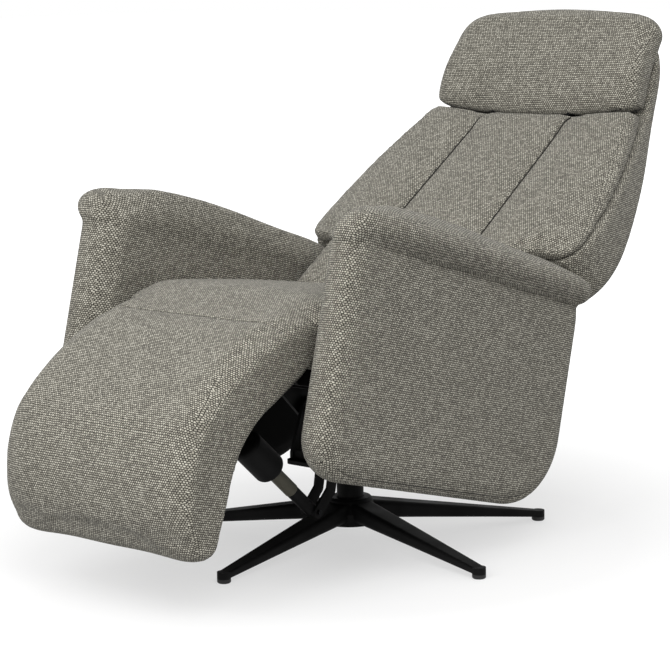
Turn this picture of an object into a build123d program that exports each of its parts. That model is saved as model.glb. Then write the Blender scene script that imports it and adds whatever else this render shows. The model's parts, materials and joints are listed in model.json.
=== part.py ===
from build123d import *
import os
from math import cos, radians, sin, sqrt

# Upholstered swivel recliner, shown half reclined.  Millimetres, +Z up, the sitter faces -Y,
# origin on the swivel axis at floor level.  "left" is the sitter's left, +X.

# fits
RUN = 0.05              # radial clearance of a pin that turns
SIDE = 0.3              # end clearance between parts that turn on one another
SEATED = 0.1            # clearance between parts that rest on one another

# star base and column
FOOT_RADIUS = 400.0     # swivel axis to the centre of a foot
LEG_COUNT = 5
FIRST_LEG = 5.3         # direction of the first leg, degrees from the front
LEG_ROOT = (58.0, 44.0, 82.0)   # width, underside and top of a leg at the hub
LEG_MID = (42.0, 26.0, 50.0)    # the same half way out
LEG_TIP = (26.0, 8.0, 21.0)    # the same at the foot
GLIDE_D = 26.0
GLIDE_STUD_D = 8.0
GLIDE_STUD_LONG = 8.0
HUB_D = 112.0
HUB_TOP_D = 88.0
HUB_LOW = 35.0
HUB_SIDE = 24.0         # straight side of the hub
HUB_TOP = 86.0
COLUMN_D = 53.0
COLUMN_WALL = 6.0
COLUMN_LOW = 42.0
COLUMN_TOP = 140.0
BUSH_LONG = 20.0
BUSH_RIM = 3.0
SPINDLE_D = 30.0
CLIP_THICK = 2.0
FLANGE_D = 116.0
FLANGE_THICK = 7.0

# carriage that swivels on the column and carries the seat on two pivots
PLATE_THICK = 8.0
PLATE_LONG = 150.0
CHEEK_IN = 100.0        # inner face of a cheek, from the middle
CHEEK_THICK = 8.0
BOSS_D = 44.0
TILT_Z = 250.0          # height of the tilt axis
TILT_PIN_D = 18.0
LUG_THICK = 8.0

# seat unit, drawn level and then tilted back about the tilt axis
TILT = 15.0             # tilt of the seat unit as shown
RAIL_OUT = 246.0        # outer face of a side rail
RAIL_WIDE = 25.0
RAIL_LOW = 285.0
RAIL_TALL = 33.0
RAIL_FRONT = -345.0
RAIL_REAR = 100.0
TUBE_LONG = 30.0
STRAP_THICK = 3.0
STRAP_WIDE = 44.0
SEAT_HALF = 261.0       # half width of the seat cushion
SEAT_CROWN = 9.0
FOOT_Y = -417.0         # footrest hinge
FOOT_Z = 354.0
BACK_Y = 125.0          # recline hinge
BACK_Z = 439.0
SOFT_GAP = 4.0          # room between cushions that turn past one another

# arms
ARM_IN = 266.0
ARM_OUT = 355.0
ARM_FRONT = -466.0
ARM_REAR = 232.0
ARM_LOW = 123.0
LIP_FRONT = 543.0       # line under the arm pad, at the front and at the rear
LIP_REAR = 520.0
ARM_ROUND = 26.0        # edges of the outer side
ARM_ROUND_IN = 58.0     # edges of the inner side
BOARD_THICK = 18.0
BOARD_INSET = 46.0
PAD_TALL = 80.0
PAD_LIP = 6.0           # the pad stands proud of the panel by this
PAD_TUCK = 6.0          # the pad is drawn in by this at the line under it
PAD_IN = 7.0            # the pad swells over the seat by this
SPACER_D = 26.0
LINING_THICK = 1.5      # black cloth on the inner side of an arm, below the seat
LINING_TOP = 325.0
BOLT_D = 10.0
SPACER_Y = (-270.0, -30.0)

# footrest
FOOT_TURN = 15.0        # turn of the footrest against the seat unit
FOOT_HALF = 238.0
FOOT_END = 47.0         # radius of the pad about its hinge
FOOT_BOARD_THICK = 10.0
FOOT_BOARD_HALF = 190.0
LEVER_IN = 148.0        # inner face of a lever, from the middle
LEVER_THICK = 9.7
LUG_FOOT_THICK = 8.0
FOOT_PIN_D = 12.0
CRANK = (-62.0, -117.0)  # pivot that the strut pushes, from the footrest hinge
CRANK_HALF = 4.0
CRANK_PIN_D = 10.0
CROSS = (-106.0, -150.0)  # cross tube between the levers, from the footrest hinge
CROSS_D = 16.0
# side outline of the footrest pad from its hinge: ends of the arcs, then points half way along them
FOOT_OUTER = ((-13.7, 44.9), (-155, -12), (-279, -114), (-312, -233), (-293, -312))
FOOT_OUTER_MID = ((-85, 23), (-223, -59), (-304, -172), (-309, -275))
FOOT_INNER = ((25, -39.8), (-96, -105), (-169, -170), (-198, -240), (-226, -309))
FOOT_INNER_MID = ((-34, -71), (-137, -134), (-186, -203), (-212, -275))
FOOT_TIP = (-260, -343)

# back
LEAN = 40.7             # lean of the back against the seat unit
BACK_END = 103.0        # radius of the lower end about the recline hinge
BACK_SPLIT = -62.0      # plane between the front cushion and the rear shell
BODY_ROOM = 6.0         # the lower end of the back keeps this far inside the side rails
BODY_HALF = RAIL_OUT - BODY_ROOM
WING_HALF = 350.0       # half width across the wings
TOP_HALF = 258.0        # half width at the top
WING_CLEAR = 172.0      # the wings keep this far from the recline hinge
SEAM_X = 120.0          # the two long seams of the front cushion
SEAM_DEEP = 9.0
FRAME_HALF = 215.0
BACK_EYE_THICK = 10.0   # hinge eyes of the back frame
EYE_IN = BODY_HALF - BACK_EYE_THICK
HINGE_THICK = 6.0
RECLINE_PIN_D = 16.0
SHELL_ROUND = 30.0
SHELL_FOOT = (-120.0, 320.0, 82.0)   # start, length along the back and depth of the lower end of the shell
LUG_ROOT = (535.0, 555.0)   # stretch of the back frame that carries a headrest lug
# along the back: distance, half width, depth of the rear face of the shell
SHELL_STEPS = ((140, 282, 66), (176, 332, 66), (226, 350, 66), (340, 343, 54), (462, 314, 32), (590, 274, 4),
               (690, 256, -42), (770, 226, -124))

# headrest
HEAD_TURN = 28.6        # forward turn of the headrest against the back
HEAD_S = 576.0          # lower edge of the headrest, along the back
HEAD_N = -104.0
HEAD_HALF = 256.0
HEAD_LONG = 250.0
HEAD_THICK = 52.0
HEAD_STRAIGHT = 120.0   # the rear face is straight up to here
HEAD_ROUND = 18.0       # radius of the lower edge about the headrest hinge
HEAD_PIN_D = 8.0
HEAD_LUG_IN = 97.0
HEAD_LUG_THICK = 6.0

# strut under the seat
STRUT_X = 40.0          # the strut stands beside the middle
STRUT_A = (-157.0, 90.0)    # lower pivot, in the room as shown
STRUT_ELBOW = (-120.0, 127.0)   # bend of its bracket, in the room as shown
STRUT_D = 26.0
ROD_D = 10.0
ROD_IN = 120.0          # lower end of the rod, along the strut
SLEEVE_THICK = 1.0
SLEEVE_MID = 112.0
SLEEVE_LONG = 70.0
DRIVE_D = 62.0          # round housing of the drive
DRIVE_LOW = 150.0
DRIVE_TOP = 245.0
STRUT_PIN_D = 10.0
EYE_THICK = 26.0
EYE_ROUND = 12.0
BRACKET_THICK = 5.0
FORK_IN = 9.0           # the open fork of the rod stands on both sides of the crank
FORK_OUT = 14.0
FORK_ROUND = 12.0
FORK_DEEP = 32.0

NODES = {}


def keep(name, shape):
    NODES[name] = shape


def in_seat(shape):
    return Pos(0, 0, TILT_Z) * Rot(-TILT, 0, 0) * Pos(0, 0, -TILT_Z) * shape


def in_foot(shape):
    return in_seat(Pos(0, FOOT_Y, FOOT_Z) * Rot(FOOT_TURN, 0, 0) * shape)


def in_back(shape):
    return in_seat(Pos(0, BACK_Y, BACK_Z) * Rot(-LEAN, 0, 0) * shape)


def in_head(shape):
    return in_back(Pos(0, HEAD_N, HEAD_S) * Rot(HEAD_TURN, 0, 0) * shape)


def to_seat(y, z):
    """A point given in the room, in the level frame of the seat unit."""
    t = radians(TILT)
    dz = z - TILT_Z
    return (y * cos(t) - dz * sin(t), TILT_Z + y * sin(t) + dz * cos(t))


def side(outline, x0, x1):
    """Prism from x0 to x1 over an outline of edges in the Y-Z plane."""
    face = Plane.YZ * make_face(outline)
    return Pos(min(x0, x1), 0, 0) * extrude(face, abs(x1 - x0), dir=(1, 0, 0))


def poly(points):
    return Polyline(*points, close=True)


def rod_x(d, x0, x1, y=0.0, z=0.0):
    return Pos((x0 + x1) / 2, y, z) * Rot(0, 90, 0) * Cylinder(d / 2, abs(x1 - x0))


def block(x0, x1, y0, y1, z0, z1):
    return Pos((x0 + x1) / 2, (y0 + y1) / 2, (z0 + z1) / 2) * Box(abs(x1 - x0), abs(y1 - y0), abs(z1 - z0))


def hull_lug(points, y, z, r, x0, x1):
    """Flat plate that runs from a straight foot to a round eye."""
    with BuildSketch() as sk:
        with BuildLine():
            Polyline(*points, close=True)
        make_face()
        with Locations((y, z)):
            Circle(r)
        make_hull()
    return Pos(min(x0, x1), 0, 0) * extrude(Plane.YZ * sk.sketch, abs(x1 - x0), dir=(1, 0, 0))


def link(p, q, r, x0, x1):
    """Flat bar with round ends from p to q."""
    long = sqrt((q[0] - p[0]) ** 2 + (q[1] - p[1]) ** 2)
    ny = (p[1] - q[1]) * r / long
    nz = (q[0] - p[0]) * r / long
    corners = [(p[0] + ny, p[1] + nz), (q[0] + ny, q[1] + nz), (q[0] - ny, q[1] - nz), (p[0] - ny, p[1] - nz)]
    bar = side(poly(corners), x0, x1)
    return bar + rod_x(2 * r, x0, x1, *p) + rod_x(2 * r, x0, x1, *q)


def both(shape):
    """A shape on the +X side and its mirror on the -X side."""
    return [shape, mirror(shape, Plane.YZ)]


def group(shapes):
    return Compound(children=list(shapes))


def leg_section(radius, size):
    wide, low, top = size
    plane = Plane(origin=(0, -radius, (low + top) / 2), x_dir=(1, 0, 0), z_dir=(0, -1, 0))
    return plane * RectangleRounded(wide, top - low, min(wide, top - low) * 0.3)


def leg_turn(i):
    return Rot(0, 0, FIRST_LEG + i * 360 / LEG_COUNT)


def make_base():
    hub = revolve(Plane.XZ * make_face(poly([
        (0, HUB_LOW), (HUB_D / 2, HUB_LOW), (HUB_D / 2, HUB_LOW + HUB_SIDE),
        (HUB_TOP_D / 2, HUB_TOP - 4), (HUB_TOP_D / 2 - 4, HUB_TOP), (0, HUB_TOP)])), Axis.Z)
    leg = loft([leg_section(24, LEG_ROOT), leg_section(FOOT_RADIUS * 0.55, LEG_MID),
                leg_section(FOOT_RADIUS, LEG_TIP)])
    wide, low, top = LEG_TIP
    leg += Pos(0, -FOOT_RADIUS, (low + top) / 2) * Cylinder(wide / 2, top - low)
    stud = Pos(0, -FOOT_RADIUS, low + GLIDE_STUD_LONG / 2) * Cylinder(GLIDE_STUD_D / 2, GLIDE_STUD_LONG)
    base = hub
    for i in range(LEG_COUNT):
        base += leg_turn(i) * leg
    base -= Pos(0, 0, (COLUMN_LOW + HUB_TOP) / 2) * Cylinder(COLUMN_D / 2, HUB_TOP - COLUMN_LOW)
    bore = Cylinder(COLUMN_D / 2 - COLUMN_WALL, COLUMN_LOW - HUB_LOW + 2)
    base -= Pos(0, 0, (HUB_LOW + COLUMN_LOW) / 2) * bore
    for i in range(LEG_COUNT):
        base -= leg_turn(i) * stud
    keep("star_base", base)
    glide = Pos(0, -FOOT_RADIUS, LEG_TIP[1] / 2) * chamfer(
        Cylinder(GLIDE_D / 2, LEG_TIP[1]).edges().group_by(Axis.Z)[0], 2)
    keep("foot_glides", group([leg_turn(i) * (glide + stud) for i in range(LEG_COUNT)]))


def ring(d_out, d_in, z0, z1):
    return Pos(0, 0, (z0 + z1) / 2) * (Cylinder(d_out / 2, z1 - z0) - Cylinder(d_in / 2, z1 - z0))


def make_column():
    bore = COLUMN_D - 2 * COLUMN_WALL
    keep("column_tube", ring(COLUMN_D, bore, COLUMN_LOW, COLUMN_TOP))
    inner = SPINDLE_D + 2 * RUN
    low = ring(bore, inner, COLUMN_LOW, COLUMN_LOW + BUSH_LONG)
    top = ring(bore, inner, COLUMN_TOP - BUSH_LONG, COLUMN_TOP)
    top += ring(COLUMN_D, inner, COLUMN_TOP, COLUMN_TOP + BUSH_RIM)
    keep("column_bushes", group([low, top]))
    seat_z = COLUMN_TOP + BUSH_RIM + SIDE
    low_z = COLUMN_LOW - SIDE - CLIP_THICK - 2
    spindle = Pos(0, 0, (low_z + seat_z) / 2) * Cylinder(SPINDLE_D / 2, seat_z - low_z)
    spindle = chamfer(spindle.edges().group_by(Axis.Z)[0], 1)
    spindle += Pos(0, 0, seat_z + FLANGE_THICK / 2) * Cylinder(FLANGE_D / 2, FLANGE_THICK)
    clip = ring(SPINDLE_D + 8, SPINDLE_D - 4, COLUMN_LOW - SIDE - CLIP_THICK, COLUMN_LOW - SIDE)
    clip -= block(-3, 3, -SPINDLE_D, 0, 0, COLUMN_LOW)
    bolts = PolarLocations(FLANGE_D / 2 - 14, 4, 45)
    holes = [loc * Cylinder(4, 60) for loc in bolts]
    top_z = seat_z + FLANGE_THICK
    for h in holes:
        spindle -= Pos(0, 0, top_z) * h
    keep("swivel_spindle", spindle - clip)
    keep("spindle_clip", clip)
    return top_z, [loc for loc in bolts]


def make_carriage(plate_z, bolts):
    top = plate_z + PLATE_THICK
    out = CHEEK_IN + CHEEK_THICK
    plate = block(-out, out, -PLATE_LONG / 2, PLATE_LONG / 2, plate_z, top)
    plate = fillet(plate.edges().filter_by(Axis.Z), 18)
    for y in (-PLATE_LONG / 3, PLATE_LONG / 3):
        plate += block(-CHEEK_IN, CHEEK_IN, y - 3, y + 3, top, top + 16)
    for loc in bolts:
        plate -= Pos(0, 0, plate_z) * loc * Cylinder(4, 60)
    keep("carriage_plate", plate)
    foot = PLATE_LONG / 2 - 19
    boss_end = out + 4 - SIDE
    for name, flip in (("left", False), ("right", True)):
        cheek = hull_lug([(-foot, top), (foot, top), (foot, top + 12), (-foot, top + 12)],
                         0, TILT_Z, BOSS_D / 2 + 2, CHEEK_IN, out)
        cheek -= side(poly([(-22, top + 22), (22, top + 22), (8, top + 48), (-8, top + 48)]), CHEEK_IN, out)
        cheek += rod_x(BOSS_D, out, boss_end, 0, TILT_Z)
        cheek -= rod_x(TILT_PIN_D, CHEEK_IN - 1, boss_end + 1, 0, TILT_Z)
        keep("carriage_cheek_" + name, mirror(cheek, Plane.YZ) if flip else cheek)
    lug_out = boss_end + SIDE + LUG_THICK
    pin = rod_x(TILT_PIN_D, CHEEK_IN - 6, lug_out + 4, 0, TILT_Z)
    pin += rod_x(TILT_PIN_D + 10, CHEEK_IN - 6, CHEEK_IN, 0, TILT_Z)
    keep("tilt_pins", group(both(pin)))
    shank = Cylinder(4, FLANGE_THICK + PLATE_THICK, align=(Align.CENTER, Align.CENTER, Align.MIN))
    head = extrude(RegularPolygon(7, 6), 6)
    bolt = Pos(0, 0, plate_z - FLANGE_THICK) * shank + Pos(0, 0, top) * head
    keep("carriage_bolts", group([loc * bolt for loc in bolts]))
    return boss_end + SIDE, lug_out


def make_seat_frame(lug_in, lug_out):
    top = RAIL_LOW + RAIL_TALL
    in_x = RAIL_OUT - RAIL_WIDE
    frame = None
    for rail in both(block(in_x, RAIL_OUT, RAIL_FRONT, RAIL_REAR, RAIL_LOW, top)):
        frame = rail if frame is None else frame + rail
    tubes = (RAIL_FRONT, -110.0, -10.0)
    for y in tubes:
        frame += block(-in_x, in_x, y, y + TUBE_LONG, RAIL_LOW, top)
    lug = hull_lug([(-105, RAIL_LOW), (15, RAIL_LOW), (15, RAIL_LOW + 6), (-105, RAIL_LOW + 6)],
                   0, TILT_Z, BOSS_D / 2, lug_in, lug_out)
    lug -= rod_x(TILT_PIN_D + 2 * RUN, lug_in - 1, lug_out + 1, 0, TILT_Z)
    lever_out = LEVER_IN + LEVER_THICK
    root = RAIL_FRONT + 10
    reach = hull_lug([(RAIL_FRONT, RAIL_LOW), (root, RAIL_LOW), (root, top), (RAIL_FRONT, top)],
                     FOOT_Y, FOOT_Z, 15, lever_out + SIDE, lever_out + SIDE + LUG_FOOT_THICK)
    reach -= rod_x(FOOT_PIN_D, lever_out - 5, lever_out + 20, FOOT_Y, FOOT_Z)
    ay, az = to_seat(*STRUT_A)
    under = RAIL_LOW - SEATED
    by, bz = to_seat(*STRUT_ELBOW)
    drops = []
    for x0 in (STRUT_X - EYE_THICK / 2 - SIDE - BRACKET_THICK, STRUT_X + EYE_THICK / 2 + SIDE):
        x1 = x0 + BRACKET_THICK
        root = [(-110, under - 4), (-80, under - 4), (-80, under), (-110, under)]
        drop = hull_lug(root, by, bz, EYE_ROUND, x0, x1)
        drop += link((ay, az), (by, bz), EYE_ROUND, x0, x1)
        drops.append(drop - rod_x(STRUT_PIN_D, x0 - 1, x1 + 1, ay, az))
    hinge = hull_lug([(45, RAIL_LOW), (RAIL_REAR, RAIL_LOW), (RAIL_REAR, top), (45, top)],
                     BACK_Y, BACK_Z, 22, RAIL_OUT, RAIL_OUT + HINGE_THICK)
    hinge -= rod_x(RECLINE_PIN_D, RAIL_OUT - 5, RAIL_OUT + 20, BACK_Y, BACK_Z)
    for y in SPACER_Y:
        frame -= rod_x(BOLT_D + 2 * SEATED, -RAIL_OUT - 5, RAIL_OUT + 5, y, RAIL_LOW + RAIL_TALL / 2)
    for piece in both(lug) + both(reach):
        frame += piece
    keep("seat_frame", in_seat(frame))
    keep("strut_bracket", in_seat(group(drops)))
    for name, plate in zip(("left", "right"), both(hinge)):
        keep("recline_plate_" + name, in_seat(plate))
    pin = rod_x(FOOT_PIN_D, LEVER_IN - 4, lever_out + SIDE + LUG_FOOT_THICK, FOOT_Y, FOOT_Z)
    lug_end = lever_out + SIDE + LUG_FOOT_THICK
    pin += rod_x(FOOT_PIN_D + 8, lug_end, lug_end + 3, FOOT_Y, FOOT_Z)
    keep("footrest_pins", in_seat(group(both(pin))))
    reach_x = EYE_THICK / 2 + SIDE + BRACKET_THICK + 4
    pin = rod_x(STRUT_PIN_D, STRUT_X - reach_x, STRUT_X + reach_x, ay, az)
    keep("strut_pin", in_seat(pin))
    eye_out = EYE_IN + BACK_EYE_THICK
    pin = rod_x(RECLINE_PIN_D, EYE_IN - 8, RAIL_OUT + HINGE_THICK, BACK_Y, BACK_Z)
    pin += rod_x(RECLINE_PIN_D + 10, RAIL_OUT + HINGE_THICK, RAIL_OUT + HINGE_THICK + 4, BACK_Y, BACK_Z)
    keep("recline_pins", in_seat(group(both(pin))))
    washer = rod_x(34, eye_out + SIDE, RAIL_OUT, BACK_Y, BACK_Z)
    washer -= rod_x(RECLINE_PIN_D, eye_out, RAIL_OUT + 1, BACK_Y, BACK_Z)
    keep("recline_washers", in_seat(group(both(washer))))
    span = tubes[2] + TUBE_LONG - RAIL_FRONT
    low = top + SEATED
    strap = block(-STRAP_WIDE / 2, STRAP_WIDE / 2, RAIL_FRONT, RAIL_FRONT + span, low, low + STRAP_THICK)
    keep("seat_webbing", in_seat(group([Pos(x, 0, 0) * strap for x in (-118, -59, 0, 59, 118)])))


def arc(*p):
    return ThreePointArc(*p)


def ring_point(y, z, r, deg):
    return (y + r * cos(radians(deg)), z + r * sin(radians(deg)))


def seat_section(x, sag):
    """Side outline of the seat cushion, its top lowered by sag; the two hollow ends stay round."""
    low = RAIL_LOW + RAIL_TALL + STRAP_THICK + 2 * SEATED
    cup = FOOT_END + SOFT_GAP
    back = BACK_END + SOFT_GAP
    c0 = ring_point(FOOT_Y, FOOT_Z, cup, -40)
    c1 = ring_point(FOOT_Y, FOOT_Z, cup, 20)
    c2 = ring_point(FOOT_Y, FOOT_Z, cup, 72)
    b0 = ring_point(BACK_Y, BACK_Z, back, 158)
    b1 = ring_point(BACK_Y, BACK_Z, back, 179)
    b2 = ring_point(BACK_Y, BACK_Z, back, 200)
    nose = (-386, 424 - sag)
    knee = (-330, 445 - sag)
    mid = (-170, 470 - sag)
    rear = (8, 490 - sag)
    lip = (20, 487 - sag)
    edges = [arc(c0, c1, c2), Line(c2, nose), arc(nose, ((nose[0] + knee[0]) / 2, 437.5 - sag), knee),
             arc(knee, mid, rear), arc(rear, (16, 489.5 - sag), lip), Line(lip, b0), arc(b0, b1, b2),
             Line(b2, (b2[0], low)), Line((b2[0], low), (c0[0], low)), Line((c0[0], low), c0)]
    return Pos(x, 0, 0) * (Plane.YZ * make_face(Wire(edges)))


def make_seat_cushion():
    half = SEAT_HALF
    steps = ((-half, 13.0), (-half + 26, 3.0), (-half / 2, -0.6 * SEAT_CROWN), (0, -SEAT_CROWN),
             (half / 2, -0.6 * SEAT_CROWN), (half - 26, 3.0), (half, 13.0))
    cushion = loft([seat_section(x, sag) for x, sag in steps])
    for s in (-1, 1):
        x0 = s * (LEVER_IN - 6)
        x1 = s * (LEVER_IN + LEVER_THICK + LUG_FOOT_THICK + 8)
        cushion -= block(x0, x1, -430, -328, 300, FOOT_Z + 22)
    keep("seat_cushion", in_seat(cushion))


def lip_at(y):
    return LIP_FRONT + (LIP_REAR - LIP_FRONT) * (y - ARM_FRONT) / (ARM_REAR - ARM_FRONT)


def arm_outline(inset, front_r, rear_r):
    y0 = ARM_FRONT + inset
    y1 = ARM_REAR - inset
    z0 = ARM_LOW + inset
    face = make_face(poly([(y0, z0), (y1, z0), (y1, lip_at(y1)), (y0, lip_at(y0))]))
    low = face.vertices().group_by(Axis.Y)[0]
    face = fillet(low.sort_by(Axis.X)[0], front_r)
    low = face.vertices().sort_by(Axis.X)[-2:].sort_by(Axis.Y)[0]
    return fillet(low, rear_r)


def pad_section(y, tall, inner, outer):
    """Cross-section of the arm pad: a soft roll with a lip on the outer side."""
    z = lip_at(y)
    h = tall * PAD_TALL
    x0 = ARM_IN + inner
    x1 = ARM_OUT - outer
    a = (x0, z)
    b = (x1 - PAD_TUCK, z)
    c = (x1 + PAD_LIP, z + 0.52 * h)
    d = (x1 - 0.14 * (x1 - x0), z + 0.87 * h)
    e = (x0 + 0.14 * (x1 - x0), z + 0.94 * h)
    side_x = x1 + 0.4 * PAD_LIP
    edges = [Line(a, b), arc(b, (side_x, z + 0.22 * h), c), arc(c, (side_x, z + 0.72 * h), d),
             arc(d, ((x0 + x1) / 2, z + h), e), arc(e, (x0 - PAD_IN, z + 0.46 * h), a)]
    plane = Plane(origin=(0, y, 0), x_dir=(1, 0, 0), z_dir=(0, -1, 0))
    return plane * make_face(Wire(edges))


def make_arms():
    outer = Plane.YZ * arm_outline(0, 78, 142)
    panel = Pos(ARM_IN, 0, 0) * extrude(outer, ARM_OUT - ARM_IN, dir=(1, 0, 0))
    for end, r in ((0, ARM_ROUND_IN), (-1, ARM_ROUND)):
        face = panel.faces().filter_by(Axis.X).sort_by(Axis.X)[end]
        panel = fillet([e for e in face.edges() if e.center().Z < LIP_REAR - 30], r)
    mid = (ARM_IN + ARM_OUT) / 2
    board = Plane.YZ * arm_outline(BOARD_INSET, 50, 100)
    board = Pos(mid - BOARD_THICK / 2, 0, 0) * extrude(board, BOARD_THICK, dir=(1, 0, 0))
    z = RAIL_LOW + RAIL_TALL / 2
    bolts = []
    rooms = []
    spacers = []
    for y in SPACER_Y:
        spacer = rod_x(SPACER_D, RAIL_OUT + SEATED, mid - BOARD_THICK / 2 - SEATED, y, z)
        bolt = rod_x(BOLT_D, RAIL_OUT - RAIL_WIDE - 7, mid + BOARD_THICK / 2, y, z)
        bolt += rod_x(BOLT_D + 8, RAIL_OUT - RAIL_WIDE - 7, RAIL_OUT - RAIL_WIDE - SEATED, y, z)
        room = rod_x(BOLT_D + 2 * SEATED, RAIL_OUT - RAIL_WIDE, mid + BOARD_THICK / 2 + SEATED, y, z)
        panel -= rod_x(SPACER_D + 2 * SEATED, RAIL_OUT, mid, y, z)
        spacers += both(spacer - room)
        rooms.append(room)
        bolts += both(bolt)
    panel -= board
    for room in rooms:
        board -= room
        panel -= room
    edge = ARM_ROUND_IN + 4
    lining = side(poly([(ARM_FRONT + edge, ARM_LOW + edge + 14), (ARM_FRONT + edge + 14, ARM_LOW + edge),
                        (ARM_REAR - 140, ARM_LOW + edge), (ARM_REAR - edge, ARM_LOW + 140),
                        (ARM_REAR - edge, LINING_TOP), (ARM_FRONT + edge, LINING_TOP)]),
                  ARM_IN - SEATED - LINING_THICK, ARM_IN - SEATED)
    for y in SPACER_Y:
        lining -= rod_x(SPACER_D + 2 * SEATED, RAIL_OUT, ARM_IN, y, z)
    steps = ((ARM_FRONT - 7, 0.30, 46, 12), (ARM_FRONT + 3, 0.55, 34, 3), (ARM_FRONT + 24, 0.78, 15, 0),
             (ARM_FRONT + 66, 0.95, 2, 0), (ARM_FRONT + 150, 1.0, 0, 0), (-200, 1.01, 0, 0),
             (-80, 0.99, 0, 0),
             (40, 0.95, 0, 0), (110, 0.96, 0, 0), (170, 0.92, 0, 0),
             (ARM_REAR - 16, 0.75, 2, 2), (ARM_REAR + 4, 0.50, 12, 12))
    pad = loft([pad_section(*s) for s in steps])
    for name, flip in (("left", False), ("right", True)):
        shapes = (("arm_panel_", panel), ("arm_board_", board), ("arm_pad_", pad), ("arm_lining_", lining))
        for part, shape in shapes:
            keep(part + name, in_seat(mirror(shape, Plane.YZ) if flip else shape))
    keep("arm_spacers", in_seat(group(spacers)))
    keep("arm_bolts", in_seat(group(bolts)))


def toward(p, q, d):
    length = sqrt((q[0] - p[0]) ** 2 + (q[1] - p[1]) ** 2)
    return (p[0] + (q[0] - p[0]) * d / length, p[1] + (q[1] - p[1]) * d / length)


def foot_section(x, front, rear):
    """Side outline of the footrest pad with its front and rear drawn in by the given depths."""
    out = [toward(p, q, front) for p, q in zip(FOOT_OUTER, FOOT_INNER)]
    out_mid = [toward(p, q, front) for p, q in zip(FOOT_OUTER_MID, FOOT_INNER_MID)]
    inn = [toward(q, p, rear) for p, q in zip(FOOT_OUTER, FOOT_INNER)]
    inn_mid = [toward(q, p, rear) for p, q in zip(FOOT_OUTER_MID, FOOT_INNER_MID)]
    drawn = max(0.0, front)
    out[0] = toward(FOOT_OUTER[0], FOOT_INNER[0], drawn)
    tip = (FOOT_TIP[0], FOOT_TIP[1] + drawn)
    end = FOOT_END - drawn
    edges = [arc(inn[0], ring_point(0, 0, end, 25), out[0])]
    for i in range(4):
        edges.append(arc(out[i], out_mid[i], out[i + 1]))
    edges.append(arc(out[4], tip, inn[4]))
    for i in range(3, -1, -1):
        edges.append(arc(inn[i + 1], inn_mid[i], inn[i]))
    return Pos(x, 0, 0) * (Plane.YZ * make_face(Wire(edges)))


def foot_strip(d0, d1, i0, i1):
    """Curved strip that follows the underside of the footrest pad, between two depths."""
    near = [toward(q, p, d0) for p, q in zip(FOOT_OUTER, FOOT_INNER)]
    near_mid = [toward(q, p, d0) for p, q in zip(FOOT_OUTER_MID, FOOT_INNER_MID)]
    far = [toward(q, p, d1) for p, q in zip(FOOT_OUTER, FOOT_INNER)]
    far_mid = [toward(q, p, d1) for p, q in zip(FOOT_OUTER_MID, FOOT_INNER_MID)]
    edges = []
    for i in range(i0, i1):
        edges.append(arc(near[i], near_mid[i], near[i + 1]))
        edges.append(arc(far[i], far_mid[i], far[i + 1]))
    edges.append(Line(near[i0], far[i0]))
    edges.append(Line(near[i1], far[i1]))
    return edges


def make_footrest():
    half = FOOT_HALF
    steps = ((-half, 12.0, 9.0), (-half + 24, 0.0, 0.0), (-half / 2, -4.0, 0.0), (0, -5.0, 0.0),
             (half / 2, -4.0, 0.0), (half - 24, 0.0, 0.0), (half, 12.0, 9.0))
    pad = loft([foot_section(*s) for s in steps])
    strip = Wire.combine(foot_strip(-2.0, FOOT_BOARD_THICK, 1, 3))[0]
    board = side(strip, -FOOT_BOARD_HALF, FOOT_BOARD_HALF)
    pad -= board
    x0 = LEVER_IN
    x1 = LEVER_IN + LEVER_THICK
    shank = hull_lug([(-14, -98), (-2, -72), (14, -78), (0, -104)], 0, 0, 15, x0, x1)
    bar = side(poly([(-14, -98), (-2, -72), (-96, -124), (-136, -160), (-118, -178), (-78, -146)]), x0, x1)
    bar += side(poly([(-2, -72), (14, -78), (0, -104), (-78, -146), (-14, -98)]), x0, x1)
    lever = shank + bar
    lever -= rod_x(FOOT_PIN_D + 2 * RUN, x0 - 1, x1 + 1, 0, 0)
    tube = rod_x(CROSS_D, -x1 - 4, x1 + 4, *CROSS)
    lever -= tube
    cy, cz = CROSS
    plate = hull_lug([(cy - 9, cz + 9), (cy + 9, cz - 9), (cy - 9, cz - 9)],
                     CRANK[0], CRANK[1], 11, STRUT_X - CRANK_HALF, STRUT_X + CRANK_HALF)
    plate += rod_x(CRANK_PIN_D, STRUT_X - FORK_IN + 0.5, STRUT_X + FORK_IN - 0.5, *CRANK)
    plate -= tube
    for s in (-1, 1):
        a = s * (x0 - 6)
        b = s * (x1 + LUG_FOOT_THICK + 8)
        pad -= block(a, b, -20, 60, -60, 22)
    for piece in both(lever):
        pad -= piece
        board -= piece
    keep("footrest_pad", in_foot(pad))
    keep("footrest_board", in_foot(board))
    keep("footrest_levers", in_foot(group(both(lever))))
    keep("footrest_cross_tube", in_foot(tube))
    keep("footrest_crank", in_foot(plate))


def rod_z(d, z0, z1):
    return Pos(0, 0, (z0 + z1) / 2) * Cylinder(d / 2, z1 - z0)


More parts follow.
